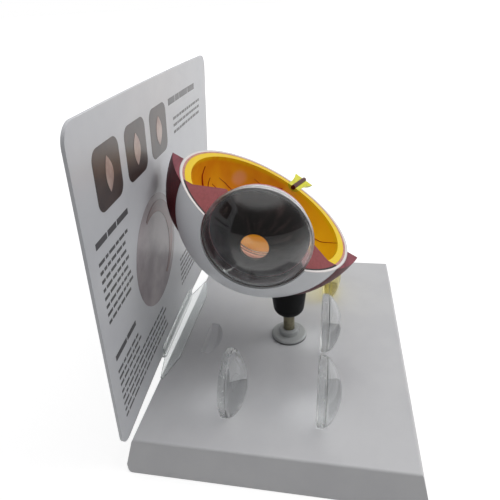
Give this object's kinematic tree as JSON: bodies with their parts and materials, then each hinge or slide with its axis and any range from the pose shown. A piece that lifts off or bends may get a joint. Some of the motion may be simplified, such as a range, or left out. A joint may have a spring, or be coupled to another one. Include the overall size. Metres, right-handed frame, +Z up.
{
  "type": "eye anatomy desk model",
  "caption": "Cutaway model of a human eye on a stand, with loose lenses in slots of its base and a card behind it.",
  "frame": {"origin": "on the table, under the middle of the base and the card behind it", "axes": "+X along the long side of the base and away from where the eye looks, +Y towards the card, +Z up"},
  "size_m": [0.1659, 0.1316, 0.151],
  "materials": {
    "base_plastic": "fine satin moulded plastic, cool pale grey",
    "foot_plastic": "smooth white",
    "rod_metal": "drawn rod, dull grey-olive",
    "plain_steel": "plain zinc",
    "clear_holder": "clear moulded plastic",
    "card_print": "printed plastic card, satin",
    "socket_black": "black, smooth",
    "sclera_white": "white, satin",
    "choroid_pink": "painted dull pink",
    "retina_yellow": "painted orange-yellow with thin red vessels",
    "ciliary_pink": "painted dark mauve-pink",
    "nerve_green": "painted yellow-green",
    "vessel_red": "painted dark red",
    "muscle_red": "painted maroon, mauve on the cut faces",
    "cap_clear": "clear polished plastic",
    "iris_dark": "very dark brown, glossy",
    "ring_pink": "painted pale pink",
    "lens_clear": "clear polished plastic with a faint cloudy patch",
    "lens_amber": "amber-tinted clear plastic"
  },
  "bodies": {
    "base": {"base_shell": "base_plastic", "stand_foot": "foot_plastic", "stand_rod": "rod_metal", "rod_washer": "plain_steel", "rod_nut": "plain_steel", "card_holder": "clear_holder"},
    "card": {"info_card": "card_print"},
    "eye": {"rod_socket": "socket_black", "sclera_shell": "sclera_white", "choroid_coat": "choroid_pink", "retina_coat": "retina_yellow", "ciliary_body": "ciliary_pink", "optic_nerve": "nerve_green", "nerve_vessel": "vessel_red", "outer_muscle": "muscle_red", "inner_muscle": "muscle_red"},
    "front_cap": {"cornea_cap": "cap_clear", "iris_disc": "iris_dark", "iris_ring": "ring_pink"},
    "inner_lens": {"eye_lens": "lens_clear"},
    "front_left_lens": {"lens_front_left": "lens_clear"},
    "front_middle_lens": {"lens_front_middle": "lens_clear"},
    "front_right_lens": {"lens_front_right": "lens_amber"},
    "back_left_lens": {"lens_back_left": "lens_clear"}
  },
  "joints": [
    {"name": "eye_turn", "type": "hinge", "parent": "base", "child": "eye", "pos_m": [-0.002, -0.0028, 0.0405], "axis": [0, 0, 1], "continuous": true},
    {"name": "cap_pull", "type": "slide", "parent": "eye", "child": "front_cap", "axis": [-1, 0, 0], "range_m": [0, 0.03]},
    {"name": "inner_lens_lift", "type": "slide", "parent": "eye", "child": "inner_lens", "axis": [0, -0.515, 0.8572], "range_m": [0, 0.034]},
    {"name": "front_left_lift", "type": "slide", "parent": "base", "child": "front_left_lens", "axis": [0, 0, 1], "range_m": [0, 0.012]},
    {"name": "front_middle_lift", "type": "slide", "parent": "base", "child": "front_middle_lens", "axis": [0, 0, 1], "range_m": [0, 0.008]},
    {"name": "front_right_lift", "type": "slide", "parent": "base", "child": "front_right_lens", "axis": [0, 0, 1], "range_m": [0, 0.012]},
    {"name": "back_left_lift", "type": "slide", "parent": "base", "child": "back_left_lens", "axis": [0, 0, 1], "range_m": [0, 0.012]},
    {"name": "card_lift", "type": "slide", "parent": "base", "child": "card", "axis": [0, -0.0663, 0.9978], "range_m": [0, 0.02]}
  ]
}
